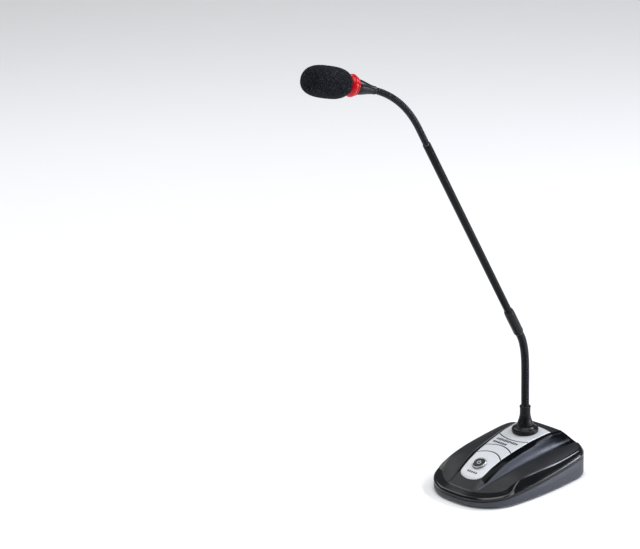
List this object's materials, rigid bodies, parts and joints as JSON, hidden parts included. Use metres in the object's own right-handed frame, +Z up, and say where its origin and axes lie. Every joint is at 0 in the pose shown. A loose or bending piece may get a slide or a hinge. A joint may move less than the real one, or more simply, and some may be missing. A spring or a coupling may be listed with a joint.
{
  "type": "gooseneck podium microphone",
  "caption": "Table microphone on a wedge-shaped base, with a bendable gooseneck, a straight middle tube, a red ring and a pull-off foam windscreen.",
  "frame": {"origin": "middle of the base's footprint, on the surface that its feet stand on", "axes": "+Z up; the front of the base faces -Y; X = 0 is the plane of symmetry of the base"},
  "size_m": [0.1012, 0.2861, 0.4271],
  "materials": {
    "upper_black": "satin",
    "plate_silver": "brushed",
    "bezel_chrome": "polished",
    "button_black": "gloss",
    "mark_white": "matte",
    "part_black": "matte",
    "board_green": "satin",
    "screw_steel": "brushed",
    "lower_grey": "fine texture",
    "foot_rubber": "matte",
    "cell_jacket": "gloss",
    "contact_nickel": "bright",
    "ballast_iron": "rough",
    "flange_black": "gloss",
    "neck_black": "satin",
    "tube_black": "gloss",
    "collar_black": "satin",
    "ring_red": "gloss, translucent",
    "grille_steel": "matte",
    "capsule_metal": "satin",
    "foam_black": "open-cell foam"
  },
  "bodies": {
    "base": {"upper_shell": "upper_black", "faceplate": "plate_silver", "button_bezel": "bezel_chrome", "power_switch": "part_black", "main_board": "board_green", "board_parts": "part_black", "board_screws": "screw_steel", "lower_shell": "lower_grey", "rubber_feet": "foot_rubber", "case_screws": "screw_steel", "battery_cell_1": "cell_jacket", "battery_cell_2": "cell_jacket", "contact_plates": "contact_nickel", "contact_springs": "contact_nickel", "output_socket": "part_black", "ballast_plate": "ballast_iron", "ballast_screws": "screw_steel", "neck_flange": "flange_black", "neck_boot": "flange_black", "neck_stud": "screw_steel", "neck_washer": "screw_steel", "neck_nut": "screw_steel", "neck_root": "neck_black"},
    "button": {"power_button": "button_black", "power_mark": "mark_white"},
    "door": {"battery_door": "lower_grey"},
    "lower_neck_01_body": {"lower_neck_01": "neck_black"},
    "lower_neck_02_body": {"lower_neck_02": "neck_black"},
    "lower_neck_03_body": {"lower_neck_03": "neck_black"},
    "lower_neck_04_body": {"lower_neck_04": "neck_black"},
    "lower_neck_05_body": {"lower_neck_05": "neck_black"},
    "lower_neck_06_body": {"lower_neck_06": "neck_black"},
    "lower_neck_07_body": {"lower_neck_07": "neck_black"},
    "lower_neck_08_body": {"lower_neck_08": "neck_black"},
    "lower_neck_09_body": {"lower_neck_09": "neck_black"},
    "tube": {"lower_neck_end": "neck_black", "coupling_sleeve": "tube_black", "mid_tube": "tube_black", "tube_plug": "screw_steel"},
    "upper_neck_01_body": {"upper_neck_01": "neck_black"},
    "upper_neck_02_body": {"upper_neck_02": "neck_black"},
    "upper_neck_03_body": {"upper_neck_03": "neck_black"},
    "upper_neck_04_body": {"upper_neck_04": "neck_black"},
    "upper_neck_05_body": {"upper_neck_05": "neck_black"},
    "upper_neck_06_body": {"upper_neck_06": "neck_black"},
    "upper_neck_07_body": {"upper_neck_07": "neck_black"},
    "upper_neck_08_body": {"upper_neck_08": "neck_black"},
    "upper_neck_09_body": {"upper_neck_09": "neck_black"},
    "upper_neck_10_body": {"upper_neck_10": "neck_black"},
    "upper_neck_11_body": {"upper_neck_11": "neck_black"},
    "upper_neck_12_body": {"upper_neck_12": "neck_black"},
    "head": {"head_collar": "collar_black", "light_ring": "ring_red", "light_board": "board_green", "capsule_grille": "grille_steel", "mic_capsule": "capsule_metal", "capsule_gasket": "foot_rubber"},
    "windscreen": {"foam_windscreen": "foam_black"}
  },
  "joints": [
    {"name": "lower_pitch", "type": "hinge", "parent": "base", "child": "lower_neck_01_body", "pos_m": [0, 0.0303, 0.0654], "axis": [1, 0, 0], "range_deg": [-12, 7]},
    {"name": "lower_side", "type": "hinge", "parent": "lower_neck_01_body", "child": "lower_neck_02_body", "pos_m": [0, 0.0303, 0.07295], "axis": [0, 1, 0], "range_deg": [-8, 8]},
    {"name": "lower_pitch_03", "type": "hinge", "parent": "lower_neck_02_body", "child": "lower_neck_03_body", "pos_m": [0, 0.0303, 0.0805], "axis": [1, 0, 0], "range_deg": [-12, 7]},
    {"name": "lower_side_04", "type": "hinge", "parent": "lower_neck_03_body", "child": "lower_neck_04_body", "pos_m": [0, 0.0303, 0.08805], "axis": [0, 1, 0], "range_deg": [-8, 8]},
    {"name": "lower_pitch_05", "type": "hinge", "parent": "lower_neck_04_body", "child": "lower_neck_05_body", "pos_m": [0, 0.0303, 0.0956], "axis": [1, 0, 0], "range_deg": [-12, 7]},
    {"name": "lower_side_06", "type": "hinge", "parent": "lower_neck_05_body", "child": "lower_neck_06_body", "pos_m": [0, 0.03021, 0.10315], "axis": [0, 0.9989, 0.0478], "range_deg": [-8, 8]},
    {"name": "lower_pitch_07", "type": "hinge", "parent": "lower_neck_06_body", "child": "lower_neck_07_body", "pos_m": [0, 0.02984, 0.11069], "axis": [1, 0, 0], "range_deg": [-12, 7]},
    {"name": "lower_side_08", "type": "hinge", "parent": "lower_neck_07_body", "child": "lower_neck_08_body", "pos_m": [0, 0.029, 0.11819], "axis": [0, 0.9775, 0.211], "range_deg": [-8, 8]},
    {"name": "lower_pitch_09", "type": "hinge", "parent": "lower_neck_08_body", "child": "lower_neck_09_body", "pos_m": [0, 0.0274, 0.12557], "axis": [1, 0, 0], "range_deg": [-12, 7]},
    {"name": "lower_side_10", "type": "hinge", "parent": "lower_neck_09_body", "child": "tube", "pos_m": [0, 0.0248, 0.13266], "axis": [0, 0.8599, 0.5105], "range_deg": [-8, 8]},
    {"name": "upper_pitch", "type": "hinge", "parent": "tube", "child": "upper_neck_01_body", "pos_m": [0, -0.09919, 0.34147], "axis": [0.9205, -0.336, -0.1995], "range_deg": [-10, 6]},
    {"name": "upper_side", "type": "hinge", "parent": "upper_neck_01_body", "child": "upper_neck_02_body", "pos_m": [0, -0.10251, 0.34708], "axis": [0.3907, 0.7915, 0.4699], "range_deg": [-7, 7]},
    {"name": "upper_pitch_03", "type": "hinge", "parent": "upper_neck_02_body", "child": "upper_neck_03_body", "pos_m": [0, -0.10584, 0.35268], "axis": [0.9205, -0.336, -0.1995], "range_deg": [-10, 6]},
    {"name": "upper_side_04", "type": "hinge", "parent": "upper_neck_03_body", "child": "upper_neck_04_body", "pos_m": [0, -0.10917, 0.35829], "axis": [0.3904, 0.7689, 0.5064], "range_deg": [-7, 7]},
    {"name": "upper_pitch_05", "type": "hinge", "parent": "upper_neck_04_body", "child": "upper_neck_05_body", "pos_m": [-0.00011, -0.11271, 0.36375], "axis": [0.9205, -0.336, -0.1995], "range_deg": [-10, 6]},
    {"name": "upper_side_06", "type": "hinge", "parent": "upper_neck_05_body", "child": "upper_neck_06_body", "pos_m": [-0.00036, -0.11653, 0.36903], "axis": [0.3857, 0.6998, 0.6012], "range_deg": [-7, 7]},
    {"name": "upper_pitch_07", "type": "hinge", "parent": "upper_neck_06_body", "child": "upper_neck_07_body", "pos_m": [-0.00076, -0.12064, 0.37407], "axis": [0.9205, -0.336, -0.1995], "range_deg": [-10, 6]},
    {"name": "upper_side_08", "type": "hinge", "parent": "upper_neck_07_body", "child": "upper_neck_08_body", "pos_m": [-0.00134, -0.12505, 0.37883], "axis": [0.3727, 0.6015, 0.7066], "range_deg": [-7, 7]},
    {"name": "upper_pitch_09", "type": "hinge", "parent": "upper_neck_08_body", "child": "upper_neck_09_body", "pos_m": [-0.00211, -0.12977, 0.38326], "axis": [0.9205, -0.336, -0.1995], "range_deg": [-10, 6]},
    {"name": "upper_side_10", "type": "hinge", "parent": "upper_neck_09_body", "child": "upper_neck_10_body", "pos_m": [-0.00307, -0.13479, 0.3873], "axis": [0.3484, 0.4745, 0.8084], "range_deg": [-7, 7]},
    {"name": "upper_pitch_11", "type": "hinge", "parent": "upper_neck_10_body", "child": "upper_neck_11_body", "pos_m": [-0.00422, -0.1401, 0.39091], "axis": [0.9205, -0.336, -0.1995], "range_deg": [-10, 6]},
    {"name": "upper_side_12", "type": "hinge", "parent": "upper_neck_11_body", "child": "upper_neck_12_body", "pos_m": [-0.00557, -0.14565, 0.39403], "axis": [0.3108, 0.3201, 0.8949], "range_deg": [-7, 7]},
    {"name": "upper_pitch_13", "type": "hinge", "parent": "upper_neck_12_body", "child": "head", "pos_m": [-0.00711, -0.15142, 0.39663], "axis": [0.9205, -0.336, -0.1995], "range_deg": [-10, 6]},
    {"name": "power_press", "type": "slide", "parent": "base", "child": "button", "axis": [0, 0.3584, -0.9336], "range_m": [0, 0.0008], "stiffness_N_per_m": 400, "springref_m": -0.001},
    {"name": "battery_door_hinge", "type": "hinge", "parent": "base", "child": "door", "pos_m": [0, 0.0401, 0.0016], "axis": [1, 0, 0], "range_deg": [0, 100]},
    {"name": "windscreen_pull", "type": "slide", "parent": "head", "child": "windscreen", "axis": [-0.2655, -0.9124, 0.3116], "range_m": [0, 0.045]}
  ],
  "couplings": [
    {"joint": "lower_pitch_03", "follows": "lower_pitch", "ratio": 1},
    {"joint": "lower_side_04", "follows": "lower_side", "ratio": 1},
    {"joint": "lower_pitch_05", "follows": "lower_pitch", "ratio": 1},
    {"joint": "lower_side_06", "follows": "lower_side", "ratio": 1},
    {"joint": "lower_pitch_07", "follows": "lower_pitch", "ratio": 1},
    {"joint": "lower_side_08", "follows": "lower_side", "ratio": 1},
    {"joint": "lower_pitch_09", "follows": "lower_pitch", "ratio": 1},
    {"joint": "lower_side_10", "follows": "lower_side", "ratio": 1},
    {"joint": "upper_pitch_03", "follows": "upper_pitch", "ratio": 1},
    {"joint": "upper_side_04", "follows": "upper_side", "ratio": 1},
    {"joint": "upper_pitch_05", "follows": "upper_pitch", "ratio": 1},
    {"joint": "upper_side_06", "follows": "upper_side", "ratio": 1},
    {"joint": "upper_pitch_07", "follows": "upper_pitch", "ratio": 1},
    {"joint": "upper_side_08", "follows": "upper_side", "ratio": 1},
    {"joint": "upper_pitch_09", "follows": "upper_pitch", "ratio": 1},
    {"joint": "upper_side_10", "follows": "upper_side", "ratio": 1},
    {"joint": "upper_pitch_11", "follows": "upper_pitch", "ratio": 1},
    {"joint": "upper_side_12", "follows": "upper_side", "ratio": 1},
    {"joint": "upper_pitch_13", "follows": "upper_pitch", "ratio": 1}
  ]
}
